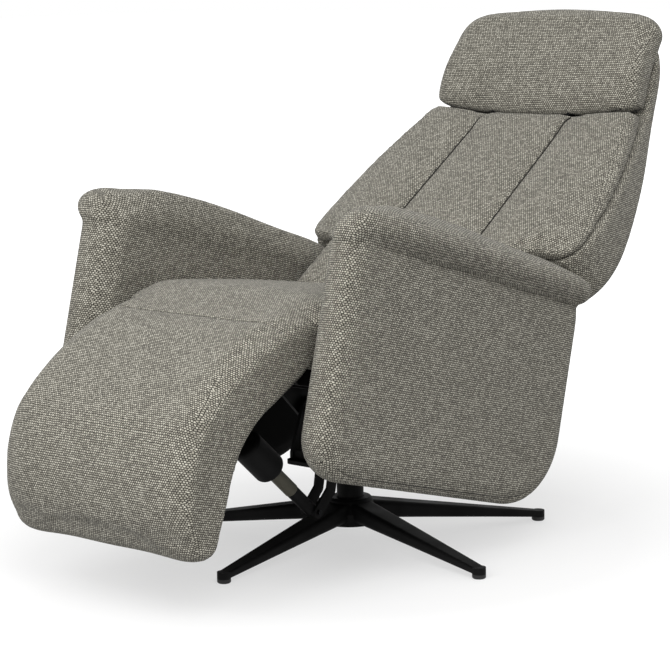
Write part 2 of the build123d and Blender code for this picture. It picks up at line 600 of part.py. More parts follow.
def make_strut():
    t = radians(TILT)
    hy = FOOT_Y * cos(t) + (FOOT_Z - TILT_Z) * sin(t)
    hz = TILT_Z - FOOT_Y * sin(t) + (FOOT_Z - TILT_Z) * cos(t)
    dy = hy + CRANK[0] - STRUT_A[0]
    dz = hz + CRANK[1] - STRUT_A[1]
    length = sqrt(dy * dy + dz * dz)
    axis = (0, dy / length, dz / length)
    frame = Plane(origin=(STRUT_X, STRUT_A[0], STRUT_A[1]), x_dir=(1, 0, 0), z_dir=axis)
    drive = rod_z(DRIVE_D, DRIVE_LOW, DRIVE_TOP)
    drive = fillet(drive.edges().filter_by(GeomType.CIRCLE), 9)
    eye = rod_x(2 * EYE_ROUND, -EYE_THICK / 2, EYE_THICK / 2)
    body = rod_z(STRUT_D, EYE_ROUND / 2, DRIVE_LOW + 10) + drive + eye
    body -= rod_z(ROD_D + 2 * RUN, 2 * EYE_ROUND, DRIVE_TOP + 1)
    body -= rod_x(STRUT_PIN_D + 2 * RUN, -EYE_THICK, EYE_THICK)
    sleeve_low = SLEEVE_MID - SLEEVE_LONG / 2
    sleeve = rod_z(STRUT_D + 2 * SLEEVE_THICK, sleeve_low, sleeve_low + SLEEVE_LONG)
    sleeve -= rod_z(STRUT_D, sleeve_low, sleeve_low + SLEEVE_LONG)
    yoke = length - FORK_DEEP
    rod = rod_z(ROD_D, ROD_IN, yoke) + rod_z(2 * FORK_OUT, yoke - 14, yoke)
    for m in (-1, 1):
        prong = Pos(m * (FORK_IN + FORK_OUT) / 2, 0, length - FORK_DEEP / 2 - 4)
        rod += prong * Box(FORK_OUT - FORK_IN, 2 * FORK_ROUND, FORK_DEEP + 8)
        rod += rod_x(2 * FORK_ROUND, m * FORK_IN, m * FORK_OUT, 0, length)
    keep("strut_cylinder", frame * body)
    keep("strut_sleeve", frame * sleeve)
    keep("strut_rod", frame * rod)


def slab(outline, n0, n1):
    """Prism over an outline of edges in the X-S plane of the back, from depth n0 to n1."""
    face = Plane.XZ * make_face(outline)
    return Pos(0, n1, 0) * extrude(face, n1 - n0, dir=(0, -1, 0))


def back_outline(grow, s0, s_top):
    """Front view of the back: narrow between the arms, wings above them, tapering to the top."""
    body = BODY_HALF
    wing = WING_HALF - grow
    top = TOP_HALF - grow
    edges = []
    for m in (1, -1):
        edges += [Line((0, s0), (m * (body - 24), s0)),
                  arc((m * (body - 24), s0), (m * (body - 7), s0 + 7), (m * body, s0 + 24)),
                  Line((m * body, s0 + 24), (m * body, 128)),
                  arc((m * body, 128), (m * (body + 16), 150), (m * (body + 52), 160)),
                  arc((m * (body + 52), 160), (m * (wing - 12), 182), (m * wing, 226)),
                  arc((m * wing, 226), (m * ((wing + top) / 2 + 18), 420), (m * top, 600)),
                  arc((m * top, 600), (m * (top - 4), s_top - 60), (m * (top - 18), s_top - 22)),
                  arc((m * (top - 18), s_top - 22), (m * (top - 34), s_top - 8), (m * (top - 62), s_top)),
                  Line((m * (top - 62), s_top), (0, s_top))]
    return Wire(edges)


def shell_section(s, half, rear):
    """Cross-section of the upper shell with round rear corners and a slightly crowned rear."""
    r = SHELL_ROUND
    k = r * (1 - sqrt(0.5))
    front = -220.0
    flat = rear - 6
    edges = [Line((-half, front), (half, front)), Line((half, front), (half, flat - r)),
             arc((half, flat - r), (half - k, flat - k), (half - r, flat)),
             arc((half - r, flat), (0, rear), (r - half, flat)),
             arc((r - half, flat), (k - half, flat - k), (-half, flat - r)),
             Line((-half, flat - r), (-half, front))]
    return Pos(0, 0, s) * make_face(Wire(edges))


def shell_front():
    """Side outline that trims the upper shell: seat of the front cushion, headrest rest and top."""
    far = 150.0
    p6 = (-118, 764)
    p7 = (-135, 750)
    p8 = (-56, 606)
    p9 = (BACK_SPLIT, 598)
    edges = [Line((BACK_SPLIT, 100), (far, 100)), Line((far, 100), (far, p6[1])), Line((far, p6[1]), p6),
             arc(p6, (-131, 760), p7), Line(p7, p8), Line(p8, p9), Line(p9, (BACK_SPLIT, 100))]
    return Wire(edges)


def shell_foot():
    """Side outline of the shell between the arms, round about the recline hinge."""
    low = -sqrt(BACK_END ** 2 - BACK_SPLIT ** 2)
    p0 = (BACK_SPLIT, low)
    p1 = (80, 0)
    p2 = (66, 170)
    p3 = (BACK_SPLIT, 170)
    edges = [arc(p0, (20, -92), p1), arc(p1, (76, 85), p2), Line(p2, p3), Line(p3, p0)]
    return Wire(edges)


def cushion_profile():
    low = -sqrt(BACK_END ** 2 - BACK_SPLIT ** 2)
    end = BACK_END
    ky, kz = head_hinge()
    hollow = HEAD_ROUND + SOFT_GAP
    h0 = ring_point(ky, kz, hollow, -94)
    h1 = ring_point(ky, kz, hollow, -57)
    h2 = ring_point(ky, kz, hollow, -20)
    rim = (-end, h0[1] - 5)
    top = (BACK_SPLIT, h2[1] + 1)
    edges = [arc((BACK_SPLIT, low), (-0.9 * end, -end * sqrt(1 - 0.81)), (-end, 0)), Line((-end, 0), rim),
             arc(rim, (-end + 1.4, h0[1] - 1.4), h0), arc(h0, h1, h2), Line(h2, top),
             Line(top, (BACK_SPLIT, low))]
    return Wire(edges)


def scallop():
    """Cross-section of the front cushion: three soft panels with a seam between them."""
    front = -BACK_END
    seam = front + SEAM_DEEP
    edge = front + 30
    w = WING_HALF
    edges = [arc((-w, edge), (-(w + SEAM_X) / 2, front + 2), (-SEAM_X, seam)),
             arc((-SEAM_X, seam), (0, front), (SEAM_X, seam)),
             arc((SEAM_X, seam), ((w + SEAM_X) / 2, front + 2), (w, edge)), Line((w, edge), (w, BACK_SPLIT)),
             Line((w, BACK_SPLIT), (-w, BACK_SPLIT)), Line((-w, BACK_SPLIT), (-w, edge))]
    return Wire(edges)


def make_back_frame():
    n0 = BACK_SPLIT
    n1 = BACK_SPLIT + 22
    frame = block(FRAME_HALF - 25, FRAME_HALF, n0, n1, 30, 555)
    frame += block(-FRAME_HALF, -FRAME_HALF + 25, n0, n1, 30, 555)
    for s in (40, 290, 530):
        frame += block(-FRAME_HALF, FRAME_HALF, n0, n1, s, s + 25)
    eye = hull_lug([(n0, 40), (n1, 40), (n1, 150), (n0, 150)], 0, 0, 20, EYE_IN, EYE_IN + BACK_EYE_THICK)
    for piece in both(eye + block(FRAME_HALF, EYE_IN, n0, n1, 60, 140)):
        frame += piece
    for piece in both(rod_x(RECLINE_PIN_D + 2 * RUN, EYE_IN - 12, EYE_IN + 12)):
        frame -= piece
    ky, kz = head_hinge()
    s0, s1 = LUG_ROOT
    arm = hull_lug([(n0, s0), (n1, s0), (n1, s1), (n0, s1)], ky, kz, 9,
                   HEAD_LUG_IN, HEAD_LUG_IN + HEAD_LUG_THICK)
    arm -= rod_x(HEAD_PIN_D, HEAD_LUG_IN - 5, HEAD_LUG_IN + 20, ky, kz)
    for piece in both(arm):
        frame += piece
    return frame


def head_hinge():
    """Hinge of the headrest as depth and distance along the back."""
    t = radians(HEAD_TURN)
    r = HEAD_ROUND
    return (HEAD_N + r * cos(t) - r * sin(t), HEAD_S + r * cos(t) + r * sin(t))


def make_back():
    frame = make_back_frame()
    clear = rod_x(2 * WING_CLEAR, BODY_HALF, WING_HALF + 20)
    wide = WING_HALF + 5
    shell = loft([shell_section(*step) for step in SHELL_STEPS]) & side(shell_front(), -wide, wide)
    for piece in both(clear):
        shell -= piece
    foot = side(shell_foot(), -BODY_HALF, BODY_HALF)
    start, long, deep = SHELL_FOOT
    shell += foot & extrude(Pos(0, 0, start) * shell_section(0, BODY_HALF, deep), long)
    cushion = slab(back_outline(4, -100, 760), -160, 0) & side(cushion_profile(), -wide, wide)
    cushion = cushion & (Pos(0, 0, -150) * extrude(Plane.XY * make_face(scallop()), 900))
    for piece in both(clear):
        cushion -= piece
    for piece in both(rod_x(RECLINE_PIN_D + 4, EYE_IN - 10, BODY_HALF + 5)):
        shell -= piece
    slot = hull_lug([(-66, 530), (-38, 530), (-38, 600), (-66, 600)], head_hinge()[0], head_hinge()[1], 12,
                    HEAD_LUG_IN - 14, HEAD_LUG_IN + HEAD_LUG_THICK + 6)
    for piece in both(slot):
        shell -= piece
        cushion -= piece
    shell -= frame
    cushion -= frame
    keep("back_frame", in_back(frame))
    keep("back_cushion", in_back(cushion))
    panel = block(-FRAME_HALF + 25, FRAME_HALF - 25, BACK_SPLIT, BACK_SPLIT + 6, 65, 290)
    panel_top = block(-FRAME_HALF + 25, FRAME_HALF - 25, BACK_SPLIT, BACK_SPLIT + 6, 315, 530)
    keep("back_shell", in_back(shell - panel - panel_top))
    keep("back_panels", in_back(group([panel, panel_top])))


def head_section(x, front, rear, top):
    """Side outline of the headrest pad, given as depth and distance up its face."""
    r = HEAD_ROUND
    t = HEAD_THICK
    long = HEAD_LONG - top
    a = (front, r)
    b = (r, front)
    k = r - 0.7071 * (r - front)
    edges = [arc(b, (k, k), a), arc(a, (front - 9, long * 0.5), (front + 3, long - 46)),
             arc((front + 3, long - 46), (front + 16, long - 10), (t * 0.62, long)),
             arc((t * 0.62, long), (t - rear + 4, long - 10), (t - rear + 6, long - 34)),
             arc((t - rear + 6, long - 34), (t - rear + 1, long * 0.6), (t - rear, HEAD_STRAIGHT)),
             Line((t - rear, HEAD_STRAIGHT), (t - rear, front + 8)), Line((t - rear, front + 8), b)]
    return Pos(x, 0, 0) * (Plane.YZ * make_face(Wire(edges)))


def make_headrest():
    half = HEAD_HALF
    steps = ((-half, 11.0, 6.0, 46.0), (-half + 20, 3.0, 0.0, 27.0), (-half / 2, 0.0, 0.0, 5.0),
             (0, -1.0, 0.0, 0.0),
             (half / 2, 0.0, 0.0, 5.0), (half - 20, 3.0, 0.0, 27.0), (half, 11.0, 6.0, 46.0))
    pad = loft([head_section(*s) for s in steps])
    r = HEAD_ROUND
    plate = block(-180, 180, HEAD_THICK - 12, HEAD_THICK - 8, 30, 185)
    x1 = HEAD_LUG_IN - SIDE
    x0 = x1 - 5
    ear = hull_lug([(HEAD_THICK - 12, 30), (HEAD_THICK - 8, 30), (HEAD_THICK - 8, 56), (HEAD_THICK - 12, 56)],
                   r, r, 9, x0, x1)
    ear -= rod_x(HEAD_PIN_D + 2 * RUN, x0 - 2, x1 + 2, r, r)
    for piece in both(ear):
        plate += piece
    gap = hull_lug([(2, -12), (HEAD_THICK + 4, -12), (HEAD_THICK + 4, 62), (HEAD_THICK - 14, 62)], r, r, 12,
                   x0 - 6, HEAD_LUG_IN + HEAD_LUG_THICK + 6)
    for piece in both(gap):
        pad -= piece
    pad -= plate
    pin = rod_x(HEAD_PIN_D, x0 - 3, HEAD_LUG_IN + HEAD_LUG_THICK, r, r)
    keep("headrest_pad", in_head(pad))
    keep("headrest_plate", in_head(plate))
    keep("headrest_pins", in_head(group(both(pin))))


def main():
    make_base()
    plate_z, bolts = make_column()
    lug_in, lug_out = make_carriage(plate_z, bolts)
    make_seat_frame(lug_in, lug_out)
    make_seat_cushion()
    make_arms()
    make_footrest()
    make_strut()
    make_back()
    make_headrest()
    os.makedirs("parts", exist_ok=True)
    for name, shape in NODES.items():
        export_step(shape, "parts/" + name + ".step")


main()
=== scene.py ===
import json
import math

import bmesh
import bpy
import numpy as np
from mathutils import Matrix, Vector
from mathutils.bvhtree import BVHTree


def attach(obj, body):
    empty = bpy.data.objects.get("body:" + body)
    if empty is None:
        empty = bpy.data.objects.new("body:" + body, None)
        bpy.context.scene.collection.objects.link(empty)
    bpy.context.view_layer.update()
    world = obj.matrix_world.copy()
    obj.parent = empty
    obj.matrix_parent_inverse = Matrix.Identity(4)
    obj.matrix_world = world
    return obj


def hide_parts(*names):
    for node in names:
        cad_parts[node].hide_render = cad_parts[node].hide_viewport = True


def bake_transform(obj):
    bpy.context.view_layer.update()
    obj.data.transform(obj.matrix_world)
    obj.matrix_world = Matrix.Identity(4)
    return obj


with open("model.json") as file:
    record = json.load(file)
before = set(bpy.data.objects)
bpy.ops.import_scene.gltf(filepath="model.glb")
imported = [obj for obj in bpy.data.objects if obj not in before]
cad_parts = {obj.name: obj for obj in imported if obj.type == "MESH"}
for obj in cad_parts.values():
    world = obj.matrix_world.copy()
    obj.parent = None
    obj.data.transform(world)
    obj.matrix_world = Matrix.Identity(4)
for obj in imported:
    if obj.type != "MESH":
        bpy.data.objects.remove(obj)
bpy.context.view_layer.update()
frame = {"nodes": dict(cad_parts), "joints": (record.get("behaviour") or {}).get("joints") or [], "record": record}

# Upholstered swivel recliner, half reclined: woven covers over foam, a black star base and the
# black mechanism under the seat.  Metres, +Z up, the sitter faces -Y, floor at Z = 0.

nodes = frame["nodes"]

MM = 0.001

# hinges of the frame as (Y, Z) in millimetres, and leans in degrees
joint_at = {j["name"]: [c / MM for c in j["pos_m"]] for j in frame["joints"] if "pos_m" in j}
TILT = 15.0
TILT_Z = joint_at["seat_tilt"][2]
FOOT_HINGE = joint_at["footrest_swing"][1:]
BACK_HINGE = joint_at["back_recline"][1:]
BACK_LEAN = 55.7
HEAD_LEAN = 27.1
HEAD_ORIGIN = (-104.0, 576.0)

# back and headrest, in millimetres across and along the back
HEAD_HINGE_X = 94.0
HINGE_SKIN = 20.0       # half width of the cloth in front of a headrest hinge
SEAM_X = (113.0, 126.0)     # the two long seams, at the top and at the bottom
SEAM_TOP = 574.0
SEAM_STEP = 50.0
SEAM_STEPS = 12

# arms, in millimetres of the level seat unit
ARM_IN = 266.0
ARM_OUT = 355.0
ARM_FRONT = -466.0
ARM_REAR = 232.0
PAD_TALL = 80.0
ROLL_OVER = 22.0        # the roll overhangs the side by this
LIP_FRONT = 543.0       # height of the crease under the roll, at the front and at the rear
LIP_REAR = 520.0
LINING_TOP = 330.0
LINING_FRONT = -400.0
LINING_REAR = 190.0
LINING_OUT = 1.2 * MM

# covers, blown up like cushions
VOXEL = 7.0 * MM        # grid on which they are laid out
START = 2.0 * MM        # they start this much too small
SLIDE = 2.0 * MM        # and may creep sideways by this
NEAR = 6.0 * MM         # closer than this to a neighbour they do not swell,
CLEAR = 30.0 * MM       # and from here on they swell freely
PRESSURE = 4.0
FRAMES = 20

# seams: half width and depth of the valley, and radius of the thread in it; the thread's near-black colour is
# painted shade along the seam
BACK_SEAM, BACK_THREAD = (3.5 * MM, 6.0 * MM), 1.3 * MM
BACK_LIFT = 2.5         # the thread lies this many millimetres above the bottom
FOOT_SEAM, FOOT_THREAD = (4.0 * MM, 3.5 * MM), 0.45 * MM
HEM_SEAM, HEM_THREAD = (3.0 * MM, 2.0 * MM), 0.7 * MM
LIP_CREASE = (5.0 * MM, 8.0 * MM)

FLOOR_SHADOW_GLOW = 0.56       # glow of the white floor beside the chair, dimmer than further out: a painted shadow around the chair
FLOOR_GREY = 0.42       # what the floor gives back to the chair
SKY = 0.74              # strength of the white surroundings

# camera of the photograph: degrees and metres, image width and focal length in pixels
IMAGE_WIDE = 670.0
CAM_AZIMUTH = 41.414
CAM_HEIGHT = 1.1226
CAM_RADIUS = 4.5230
CAM_PITCH = 8.825
CAM_PAN = 0.299
CAM_ROLL = -1.147
CAM_FOCAL_PX = 2343.1


def turned(y, z, degrees):
    a = math.radians(degrees)
    return y * math.cos(a) + z * math.sin(a), -y * math.sin(a) + z * math.cos(a)


def seat_point(x, y, z):
    """A point of the level seat unit, in the tilted place it has in the room."""
    dy, dz = turned(y, z - TILT_Z, TILT)
    return Vector((x, dy, TILT_Z + dz)) * MM


def foot_point(x, y, z):
    return Vector((x, FOOT_HINGE[0] + y, FOOT_HINGE[1] + z)) * MM


def back_point(x, n, s):
    """A point of the back: n is depth to the rear, s the distance up from the recline hinge."""
    dy, dz = turned(n, s, BACK_LEAN)
    return Vector((x, BACK_HINGE[0] + dy, BACK_HINGE[1] + dz)) * MM


def head_point(x, q, p):
    """A point of the headrest: q is depth to the rear, p the distance up its face."""
    oy, oz = turned(HEAD_ORIGIN[0], HEAD_ORIGIN[1], BACK_LEAN)
    dy, dz = turned(q, p, HEAD_LEAN)
    return Vector((x, BACK_HINGE[0] + oy + dy, BACK_HINGE[1] + oz + dz)) * MM


def srgb(hex_colour):
    """sRGB hex colour as linear RGBA."""
    out = []
    for i in (1, 3, 5):
        c = int(hex_colour[i:i + 2], 16) / 255
        out.append(c / 12.92 if c <= 0.04045 else ((c + 0.055) / 1.055) ** 2.4)
    return (*out, 1.0)


def add(tree, kind, inputs=(), **settings):
    """Adds a node with its settings.  An input is a value, a socket, or a node for its first output."""
    node = tree.nodes.new(kind)
    for name, value in settings.items():
        setattr(node, name, value)
    for key, value in dict(inputs).items():
        if isinstance(value, bpy.types.Node):
            value = value.outputs[0]
        if isinstance(value, bpy.types.NodeSocket):
            tree.links.new(value, node.inputs[key])
        else:
            node.inputs[key].default_value = value
    return node


def new_material(name):
    material = bpy.data.materials.new(name)
    material.use_nodes = True
    tree = material.node_tree
    tree.nodes.clear()
    return material, tree


def woven_wool_blend(name, light, middle, dark, gap):
    """Thick wool-blend yarn in a basket weave: every float of yarn shows as one pale grain, rows lie
    half a grain apart, the yarn is spun from light and dark fibres, and the gaps are painted nearly black:
    painted shade in the hollows of the weave.  Grain 4.8 x 3.9 mm, read from the near arm."""
    grain, row = 4.8 * MM, 3.9 * MM
    material, tree = new_material(name)
    uv = add(tree, "ShaderNodeUVMap", uv_map="weave")
    place = add(tree, "ShaderNodeTexCoord").outputs["Object"]
    wander = add(tree, "ShaderNodeTexNoise", {"Vector": place, "Scale": 1 / (11 * MM), "Detail": 2.0})
    shift = add(tree, "ShaderNodeVectorMath", {0: wander.outputs["Color"], 1: (0.5, 0.5, 0.5)},
                operation="SUBTRACT")
    shift = add(tree, "ShaderNodeVectorMath", {0: shift, "Scale": 2.6 * MM}, operation="SCALE")
    cloth = add(tree, "ShaderNodeVectorMath", {0: uv, 1: shift}, operation="ADD")
    split = add(tree, "ShaderNodeSeparateXYZ", {0: cloth})
    v = add(tree, "ShaderNodeMath", {0: split.outputs["Y"], 1: row}, operation="DIVIDE")
    v_cell = add(tree, "ShaderNodeMath", {0: v}, operation="FLOOR")
    odd = add(tree, "ShaderNodeMath", {0: v_cell, 1: 2.0}, operation="FLOORED_MODULO")
    u = add(tree, "ShaderNodeMath", {0: split.outputs["X"], 1: grain}, operation="DIVIDE")
    u = add(tree, "ShaderNodeMath", {0: odd, 1: 0.5, 2: u}, operation="MULTIPLY_ADD")
    u_cell = add(tree, "ShaderNodeMath", {0: u}, operation="FLOOR")
    across = add(tree, "ShaderNodeMath", {0: u}, operation="FRACT")
    across = add(tree, "ShaderNodeMath", {0: across, 1: 2.0, 2: -1.0}, operation="MULTIPLY_ADD")
    across = add(tree, "ShaderNodeMath", {0: across, 1: across}, operation="MULTIPLY")
    up = add(tree, "ShaderNodeMath", {0: v}, operation="FRACT")
    up = add(tree, "ShaderNodeMath", {0: up, 1: 2.0, 2: -1.0}, operation="MULTIPLY_ADD")
    up = add(tree, "ShaderNodeMath", {0: up, 1: up}, operation="MULTIPLY")
    across = add(tree, "ShaderNodeMath", {0: 1.0, 1: across}, operation="SUBTRACT")
    up = add(tree, "ShaderNodeMath", {0: 1.0, 1: up}, operation="SUBTRACT")
    height = add(tree, "ShaderNodeMath", {0: across, 1: up}, operation="MULTIPLY")
    cell = add(tree, "ShaderNodeCombineXYZ", {0: u_cell, 1: v_cell})
    pick = add(tree, "ShaderNodeTexWhiteNoise", {"Vector": cell}, noise_dimensions="2D")
    fibre = add(tree, "ShaderNodeTexNoise", {"Vector": place, "Scale": 1 / (1.6 * MM), "Detail": 3.0})
    cloud = add(tree, "ShaderNodeTexNoise", {"Vector": place, "Scale": 1 / (60 * MM), "Detail": 2.0})
    tone = add(tree, "ShaderNodeMath", {0: pick, 1: 0.22}, operation="MULTIPLY")
    tone = add(tree, "ShaderNodeMath", {0: fibre, 1: 0.34, 2: tone}, operation="MULTIPLY_ADD")
    tone = add(tree, "ShaderNodeMath", {0: cloud, 1: 0.06, 2: tone}, operation="MULTIPLY_ADD")
    yarn = add(tree, "ShaderNodeValToRGB", {"Fac": tone})
    ramp = yarn.color_ramp
    ramp.elements[0].position, ramp.elements[0].color = 0.10, srgb(dark)
    ramp.elements[1].position, ramp.elements[1].color = 0.46, srgb(light)
    ramp.elements.new(0.28).color = srgb(middle)
    # painted shade: where the weave's height is low it takes the near-black gap colour
    painted_gap_shade = add(tree, "ShaderNodeMapRange", {"Value": height, "From Min": 0.12, "From Max": 0.78,
                                              "To Min": 1.0, "To Max": 0.0})
    mix = add(tree, "ShaderNodeMix", {"Factor": painted_gap_shade, 6: yarn, 7: srgb(gap)}, data_type="RGBA")
    relief = add(tree, "ShaderNodeMath", {0: fibre, 1: 0.30, 2: height}, operation="MULTIPLY_ADD")
    bump = add(tree, "ShaderNodeBump", {"Height": relief, "Strength": 0.7, "Distance": 1.4 * MM})
    shader = add(tree, "ShaderNodeBsdfPrincipled", {
        "Base Color": mix.outputs[2], "Normal": bump, "Roughness": 0.95, "Specular IOR Level": 0.12,
        "Sheen Weight": 0.12, "Sheen Roughness": 0.45})
    add(tree, "ShaderNodeOutputMaterial", {"Surface": shader})
    return material


def powder_coat(name, colour, worn, roughness):
    """Polyester powder coat on steel or cast aluminium: even black with a fine orange-peel skin and
    slightly paler, drier patches where hands and shoes rub.  Peel 1.8 mm."""
    material, tree = new_material(name)
    place = add(tree, "ShaderNodeTexCoord").outputs["Object"]
    peel = add(tree, "ShaderNodeTexNoise", {"Vector": place, "Scale": 1 / (1.8 * MM), "Detail": 2.0})
    rub = add(tree, "ShaderNodeTexNoise", {"Vector": place, "Scale": 1 / (60 * MM), "Detail": 5.0})
    tint = add(tree, "ShaderNodeValToRGB", {"Fac": rub})
    tint.color_ramp.elements[0].position, tint.color_ramp.elements[0].color = 0.35, srgb(colour)
    tint.color_ramp.elements[1].position, tint.color_ramp.elements[1].color = 0.80, srgb(worn)
    dry = add(tree, "ShaderNodeMapRange", {"Value": rub, "From Min": 0.3, "From Max": 0.75,
                                           "To Min": roughness - 0.08, "To Max": roughness + 0.12})
    bump = add(tree, "ShaderNodeBump", {"Height": peel, "Strength": 0.25, "Distance": 0.15 * MM})
    shader = add(tree, "ShaderNodeBsdfPrincipled", {"Base Color": tint, "Roughness": dry, "Normal": bump,
                                                    "Specular IOR Level": 0.14})
    add(tree, "ShaderNodeOutputMaterial", {"Surface": shader})
    return material


def drawn_steel(name, colour, dull):
    """Drawn steel under black oxide: fine lines along the bar and a slightly uneven sheen.  Lines 0.6 mm."""
    material, tree = new_material(name)
    place = add(tree, "ShaderNodeTexCoord").outputs["Object"]
    flat = add(tree, "ShaderNodeMapping", {"Vector": place, "Scale": (1.0, 9.0, 9.0)})
    line = add(tree, "ShaderNodeTexNoise", {"Vector": flat, "Scale": 1 / (5.4 * MM), "Detail": 4.0})
    tint = add(tree, "ShaderNodeValToRGB", {"Fac": line})
    tint.color_ramp.elements[0].color = srgb(dull)
    tint.color_ramp.elements[1].color = srgb(colour)
    rough = add(tree, "ShaderNodeMapRange", {"Value": line, "To Min": 0.26, "To Max": 0.42})
    shader = add(tree, "ShaderNodeBsdfPrincipled", {"Base Color": tint, "Roughness": rough, "Metallic": 1.0})
    add(tree, "ShaderNodeOutputMaterial", {"Surface": shader})
    return material


def birch_plywood(name, pale, brown):
    """Raw birch plywood: long pale grain with thin brown lines.  Grain 3 mm wide."""
    material, tree = new_material(name)
    place = add(tree, "ShaderNodeTexCoord").outputs["Object"]
    flat = add(tree, "ShaderNodeMapping", {"Vector": place, "Scale": (1.0, 0.08, 1.0)})
    grain = add(tree, "ShaderNodeTexNoise", {"Vector": flat, "Scale": 1 / (3 * MM), "Detail": 6.0,
                                             "Distortion": 0.6})
    tint = add(tree, "ShaderNodeValToRGB", {"Fac": grain})
    tint.color_ramp.elements[0].position, tint.color_ramp.elements[0].color = 0.3, srgb(brown)
    tint.color_ramp.elements[1].position, tint.color_ramp.elements[1].color = 0.62, srgb(pale)
    bump = add(tree, "ShaderNodeBump", {"Height": grain, "Strength": 0.3, "Distance": 0.3 * MM})
    shader = add(tree, "ShaderNodeBsdfPrincipled", {"Base Color": tint, "Normal": bump, "Roughness": 0.68})
    add(tree, "ShaderNodeOutputMaterial", {"Surface": shader})
    return material


def moulded_nylon(name, colour, pale):
    """Moulded nylon: even matt skin with a fine spark texture.  Spark 0.7 mm."""
    material, tree = new_material(name)
    place = add(tree, "ShaderNodeTexCoord").outputs["Object"]
    spark = add(tree, "ShaderNodeTexNoise", {"Vector": place, "Scale": 1 / (0.7 * MM), "Detail": 2.0})
    cloud = add(tree, "ShaderNodeTexNoise", {"Vector": place, "Scale": 1 / (18 * MM), "Detail": 3.0})
    tint = add(tree, "ShaderNodeValToRGB", {"Fac": cloud})
    tint.color_ramp.elements[0].color = srgb(colour)
    tint.color_ramp.elements[1].color = srgb(pale)
    bump = add(tree, "ShaderNodeBump", {"Height": spark, "Strength": 0.3, "Distance": 0.1 * MM})
    shader = add(tree, "ShaderNodeBsdfPrincipled", {"Base Color": tint, "Normal": bump, "Roughness": 0.62})
    add(tree, "ShaderNodeOutputMaterial", {"Surface": shader})
    return material


def spun_cloth(name, colour, pale):
    """Thin spun-bonded polypropylene: matt black with a grid of small welded dots.  Dots 2.2 mm apart."""
    material, tree = new_material(name)
    place = add(tree, "ShaderNodeTexCoord").outputs["Object"]
    dots = add(tree, "ShaderNodeTexVoronoi", {"Vector": place, "Scale": 1 / (2.2 * MM), "Randomness": 0.25})
    fuzz = add(tree, "ShaderNodeTexNoise", {"Vector": place, "Scale": 1 / (9 * MM), "Detail": 5.0})
    tint = add(tree, "ShaderNodeValToRGB", {"Fac": fuzz})
    tint.color_ramp.elements[0].color = srgb(colour)
    tint.color_ramp.elements[1].color = srgb(pale)
    bump = add(tree, "ShaderNodeBump", {"Height": dots, "Strength": 0.5, "Distance": 0.3 * MM})
    shader = add(tree, "ShaderNodeBsdfPrincipled", {"Base Color": tint, "Normal": bump, "Roughness": 0.95,
                                                    "Specular IOR Level": 0.1})
    add(tree, "ShaderNodeOutputMaterial", {"Surface": shader})
    return material


# the last colour, nearly black, is painted shade in the gaps between the grains
cover_cloth = woven_wool_blend("woven_wool_blend_taupe", "#d6d2c4", "#a5a194", "#74706a", "#151410")
black_coat = powder_coat("powder_coat_black", "#030303", "#080808", 0.66)
steel = drawn_steel("drawn_steel_black_oxide", "#2c2d2e", "#161617")
plywood = birch_plywood("birch_plywood", "#c9a878", "#94703f")
nylon = moulded_nylon("moulded_nylon_black", "#080808", "#121212")
sleeve_nylon = moulded_nylon("moulded_nylon_olive_grey", "#4f4d41", "#625f51")
under_cloth = spun_cloth("spun_bonded_cloth_black", "#050505", "#0b0b0b")
# near-black thread: painted shade along the seam lines
seam_shade_thread = moulded_nylon("seam_thread_painted_shade", "#191712", "#26231d")

FINISH = {"black_metal": black_coat, "steel": steel, "plywood": plywood, "black_plastic": nylon,
          "grey_sleeve": sleeve_nylon, "black_cloth": under_cloth, "woven_upholstery": cover_cloth}
for part in frame["record"]["subparts"]:
    mesh = nodes[part["node"]].data
    mesh.materials.clear()
    mesh.materials.append(FINISH[part["material_slot"]])


def link(name, mesh):
    obj = bpy.data.objects.new(name, mesh)
    bpy.context.scene.collection.objects.link(obj)
    return obj


def apply_modifiers(obj):
    graph = bpy.context.evaluated_depsgraph_get()
    mesh = bpy.data.meshes.new_from_object(obj.evaluated_get(graph))
    obj.modifiers.clear()
    old = obj.data
    obj.data = mesh
    bpy.data.meshes.remove(old)


def points_of(mesh):
    co = np.empty(len(mesh.vertices) * 3)
    mesh.vertices.foreach_get("co", co)
    return co.reshape(-1, 3)


def normals_of(mesh):
    no = np.empty(len(mesh.vertices) * 3, np.float32)
    mesh.vertex_normals.foreach_get("vector", no)
    return no.reshape(-1, 3).astype(float)


def set_points(mesh, co):
    mesh.vertices.foreach_set("co", co.ravel())
    mesh.update()


def joined_copy(name, names, extra=()):
    """The skins of some CAD nodes, and of extra fillings, as one mesh."""
    bm = bmesh.new()
    for n in names:
        bm.from_mesh(nodes[n].data)
    for filling in extra:
        bm.from_mesh(filling)
    bmesh.ops.remove_doubles(bm, verts=bm.verts, dist=1e-5)
    mesh = bpy.data.meshes.new(name)
    bm.to_mesh(mesh)
    bm.free()
    return link(name, mesh)


def filling(rings):
    """Closed prism over a row of equal rings of points."""
    bm = bmesh.new()
    rows = [[bm.verts.new(p) for p in ring] for ring in rings]
    n = len(rows[0])
    for r0, r1 in zip(rows, rows[1:]):
        for i in range(n):
            bm.faces.new((r0[i], r0[(i + 1) % n], r1[(i + 1) % n], r1[i]))
    bm.faces.new(rows[0])
    bm.faces.new(rows[-1])
    bmesh.ops.recalc_face_normals(bm, faces=bm.faces)
    mesh = bpy.data.meshes.new("filling")
    bm.to_mesh(mesh)
    bm.free()
    return mesh


